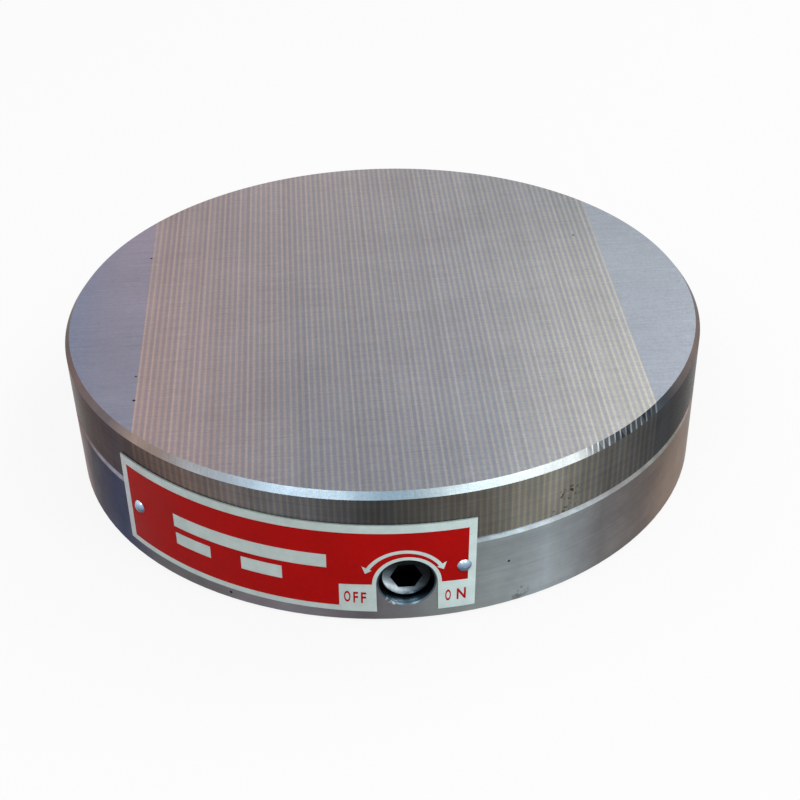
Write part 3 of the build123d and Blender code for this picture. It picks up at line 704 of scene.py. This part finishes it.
class PlateSheet:
    """The riveted nameplate, laid flat and square to itself: it sits a little turned on the rim.

    Lengths are in mm.
    """

    def __init__(self):
        places = []
        self.radius = 0.0
        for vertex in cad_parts["nameplate"].data.vertices:
            x, y, z = vertex.co / MM
            places.append(Vector((math.atan2(x, -y) * CHUCK_R / MM, z, 0)))
            self.radius = max(self.radius, math.hypot(x, y))
        along = [place.x for place in places]
        above = [place.y for place in places]
        middle = Vector(((min(along) + max(along)) / 2, (min(above) + max(above)) / 2, 0))
        turn = Matrix.Rotation(-PLATE_TILT, 4, "Z")
        self.onto_rim = Matrix.Translation(middle) @ turn @ Matrix.Translation(-middle)
        off_rim = self.onto_rim.inverted()
        square = [off_rim @ place for place in places]
        self.left = min(place.x for place in square)
        self.right = max(place.x for place in square)
        self.bottom = min(place.y for place in square)
        self.top = max(place.y for place in square)
        self.hole = off_rim @ Vector((0, SHAFT_Z / MM, 0))


def on_circle(centre, radius, degrees):
    """A point on a circle. The angle goes anticlockwise from the right."""
    angle = math.radians(degrees)
    return (centre[0] + radius * math.cos(angle), centre[1] + radius * math.sin(angle))


def arc(centre, radius, start, end):
    """Points on an arc, from one angle in degrees to another."""
    steps = max(1, int(abs(end - start) / ARC_STEP))
    angles = [start + (end - start) * index / steps for index in range(steps + 1)]
    return [on_circle(centre, radius, angle) for angle in angles]


def red_outline(sheet):
    """The red field: a rectangle without two bare tabs below and an arch over the key hole."""
    left = sheet.left + RED_LEFT_MARGIN
    right = sheet.right - RED_RIGHT_MARGIN
    bottom = sheet.bottom + RED_BOTTOM_MARGIN
    top = sheet.top - RED_TOP_MARGIN
    arch = arc(sheet.hole, RED_ARCH_R, 180, 0)
    tab_corners = [(TAB_LEFT, bottom), (TAB_LEFT, TAB_TOP)]
    return [(left, bottom), *tab_corners, *arch, (right, TAB_TOP), (right, top), (left, top)]


def arrow_outline(sheet):
    """A double-headed arrow bent round the key hole."""
    centre = (sheet.hole.x + ARROW_OFFSET[0], sheet.hole.y + ARROW_OFFSET[1])
    right_end = ARROW_TURN + ARROW_END_ANGLE
    left_end = ARROW_TURN + 180 - ARROW_END_ANGLE
    tip_reach = ARROW_END_ANGLE - ARROW_TIP_ANGLE
    head = [(BARB_OUTER_R, 0.0), (ARROW_R, tip_reach), (BARB_INNER_R, 0.0)]
    left_head = [on_circle(centre, radius, left_end + past) for radius, past in head]
    right_head = [on_circle(centre, radius, right_end - past) for radius, past in head]
    outer = arc(centre, ARROW_R + ARROW_WIDTH / 2, right_end, left_end)
    inner = arc(centre, ARROW_R - ARROW_WIDTH / 2, left_end, right_end)
    return [*outer, *left_head, *inner, *reversed(right_head)]


def bend_onto_rim(flats, name, sheet):
    """Turns flat curves or letters on the sheet into one thin mesh bent round the rim."""
    work = bmesh.new()
    for flat in flats:
        bpy.context.collection.objects.link(flat)
        bpy.context.view_layer.update()
        graph = bpy.context.evaluated_depsgraph_get()
        mesh = bpy.data.meshes.new_from_object(flat.evaluated_get(graph))
        mesh.transform(sheet.onto_rim @ Matrix.Scale(1 / MM, 4) @ flat.matrix_world)
        work.from_mesh(mesh)
        bpy.data.objects.remove(flat)
        bpy.data.meshes.remove(mesh)

    bmesh.ops.remove_doubles(work, verts=work.verts, dist=WELD_DISTANCE)
    low = min(vertex.co.x for vertex in work.verts)
    high = max(vertex.co.x for vertex in work.verts)
    for index in range(math.ceil(low / BEND_STEP), math.floor(high / BEND_STEP) + 1):
        everything = work.verts[:] + work.edges[:] + work.faces[:]
        cut = (index * BEND_STEP, 0, 0)
        bmesh.ops.bisect_plane(work, geom=everything, plane_co=cut, plane_no=(1, 0, 0))
    for vertex in work.verts:
        along, up, depth = vertex.co
        turn = along * MM / CHUCK_R
        radius = sheet.radius + PRINT_LIFT + PRINT_THICKNESS / 2 + depth
        vertex.co = Vector((radius * math.sin(turn), -radius * math.cos(turn), up)) * MM
    bmesh.ops.recalc_face_normals(work, faces=work.faces)
    bent = bpy.data.meshes.new(name)
    work.to_mesh(bent)
    work.free()
    piece = bpy.data.objects.new(name, bent)
    bpy.context.collection.objects.link(piece)
    return piece


def flat_print(name, outlines):
    """A thin flat print of outlines with straight sides, in mm. One inside another is a hole."""
    curve = bpy.data.curves.new(name, "CURVE")
    curve.dimensions = "2D"
    curve.fill_mode = "BOTH"
    curve.extrude = PRINT_THICKNESS / 2 * MM
    for points in outlines:
        spline = curve.splines.new("POLY")
        spline.points.add(len(points) - 1)
        for point, (along, up) in zip(spline.points, points):
            point.co = (along * MM, up * MM, 0, 1)
        spline.use_cyclic_u = True
    return bpy.data.objects.new(name, curve)


def flat_letter(letter, along, up, width):
    """One thin flat letter. Its middle on the sheet and its width are in mm."""
    text = bpy.data.curves.new("letter", "FONT")
    text.body = letter
    text.align_x = "CENTER"
    text.align_y = "CENTER"
    text.offset = LETTER_SPREAD
    flat = bpy.data.objects.new("letter", text)
    bpy.context.collection.objects.link(flat)
    bpy.context.view_layer.update()
    natural = flat.dimensions.copy()
    bpy.context.collection.objects.unlink(flat)
    text.extrude = PRINT_THICKNESS / 2
    stretch = Matrix.Diagonal((width / natural.x * MM, LETTER_HEIGHT / natural.y * MM, MM, 1))
    flat.matrix_world = Matrix.Translation((along * MM, up * MM, 0)) @ stretch
    return flat


def print_nameplate():
    sheet = PlateSheet()
    panels = []
    for left, right, low, high in BLANK_PANELS:
        panels.append([(left, low), (right, low), (right, high), (left, high)])
    field = flat_print("nameplate_red_field", [red_outline(sheet), arrow_outline(sheet), *panels])
    off_word = [flat_letter(*letter) for letter in OFF_LETTERS]
    on_word = [flat_letter(*letter) for letter in ON_LETTERS]
    pieces = [
        bend_onto_rim([field], "nameplate_red_field", sheet),
        bend_onto_rim(off_word, "nameplate_off_mark", sheet),
        bend_onto_rim(on_word, "nameplate_on_mark", sheet),
    ]
    ink = red_ink()
    for piece in pieces:
        piece.data.materials.append(ink)
        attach(piece, "chuck_body")


def not_lighting(tree):
    """1 for rays from the camera, off gloss and through glass, and 0 for light on the chuck."""
    rays = tree.nodes.new("ShaderNodeLightPath")
    found = rays.outputs["Is Camera Ray"]
    for kind in ("Is Glossy Ray", "Is Transmission Ray"):
        larger = tree.nodes.new("ShaderNodeMath")
        larger.operation = "MAXIMUM"
        tree.links.new(found, larger.inputs[0])
        tree.links.new(rays.outputs[kind], larger.inputs[1])
        found = larger.outputs[0]
    return found


def pale_floor():
    """A pale floor that keeps a soft shadow and glows white for the camera.

    It is clear from below, so that the underside can be looked at.
    """
    finish = Finish("studio_floor")
    finish.surface(srgb(*FLOOR_COLOUR), 0.0, 0.8, 0.2)
    glow = finish.node("ShaderNodeEmission")
    glow.inputs["Color"].default_value = (1, 1, 1, 1)
    from_above = finish.node("ShaderNodeMixShader")
    finish.wire(finish.multiply(not_lighting(finish.tree), FLOOR_GLOW), from_above.inputs[0])
    finish.wire(finish.shader.outputs[0], from_above.inputs[1])
    finish.wire(glow.outputs[0], from_above.inputs[2])
    either_side = finish.node("ShaderNodeMixShader")
    finish.wire(finish.node("ShaderNodeNewGeometry").outputs["Backfacing"], either_side.inputs[0])
    finish.wire(from_above.outputs[0], either_side.inputs[1])
    finish.wire(finish.node("ShaderNodeBsdfTransparent").outputs[0], either_side.inputs[2])
    finish.wire(either_side.outputs[0], finish.tree.nodes["Material Output"].inputs["Surface"])

    mesh = bpy.data.meshes.new("studio_floor")
    signs = [(-1, -1), (1, -1), (1, 1), (-1, 1)]
    corners = [(x * FLOOR_HALF, y * FLOOR_HALF, FLOOR_Z) for x, y in signs]
    mesh.from_pydata(corners, [], [(0, 1, 2, 3)])
    mesh.materials.append(finish.material)
    floor = bpy.data.objects.new("studio_floor", mesh)
    bpy.context.collection.objects.link(floor)


def white_air():
    """White air for the camera, gloss and glass, and a softer light on the chuck."""
    world = bpy.data.worlds.new("studio_air")
    bpy.context.scene.world = world
    world.use_nodes = True
    tree = world.node_tree
    strength = tree.nodes.new("ShaderNodeMapRange")
    tree.links.new(not_lighting(tree), strength.inputs["Value"])
    strength.inputs["To Min"].default_value = AIR_LIGHT
    strength.inputs["To Max"].default_value = AIR_SEEN
    background = tree.nodes["Background"]
    background.inputs["Color"].default_value = (1, 1, 1, 1)
    tree.links.new(strength.outputs["Result"], background.inputs["Strength"])


def lights():
    """Square soft boxes, all aimed at the chuck."""
    for name, place, size, watts in SOFT_BOXES:
        light = bpy.data.lights.new(name, "AREA")
        light.size = size
        light.energy = watts
        lamp = bpy.data.objects.new(name, light)
        lamp.location = place
        aim = Vector(LIT_PLACE) - Vector(place)
        lamp.rotation_euler = aim.to_track_quat("-Z", "Y").to_euler()
        bpy.context.collection.objects.link(lamp)


def camera():
    """The photograph's camera. The shift puts its axis below the middle of the picture."""
    data = bpy.data.cameras.new("photo_camera")
    data.sensor_width = SENSOR_WIDTH
    data.lens = FOCAL_PIXELS / IMAGE_SIZE * SENSOR_WIDTH
    data.shift_y = AXIS_BELOW_MIDDLE / IMAGE_SIZE
    data.clip_start = 0.01
    placed = bpy.data.objects.new("photo_camera", data)
    axes = Matrix((CAMERA_RIGHT, CAMERA_UP, CAMERA_BACK)).transposed()
    placed.matrix_world = Matrix.Translation(CAMERA_PLACE) @ axes.to_4x4()
    bpy.context.collection.objects.link(placed)
    bpy.context.scene.camera = placed


camera()
pale_floor()
white_air()
lights()
dress_cad_pieces()
print_nameplate()
bpy.context.scene.view_settings.view_transform = "Standard"
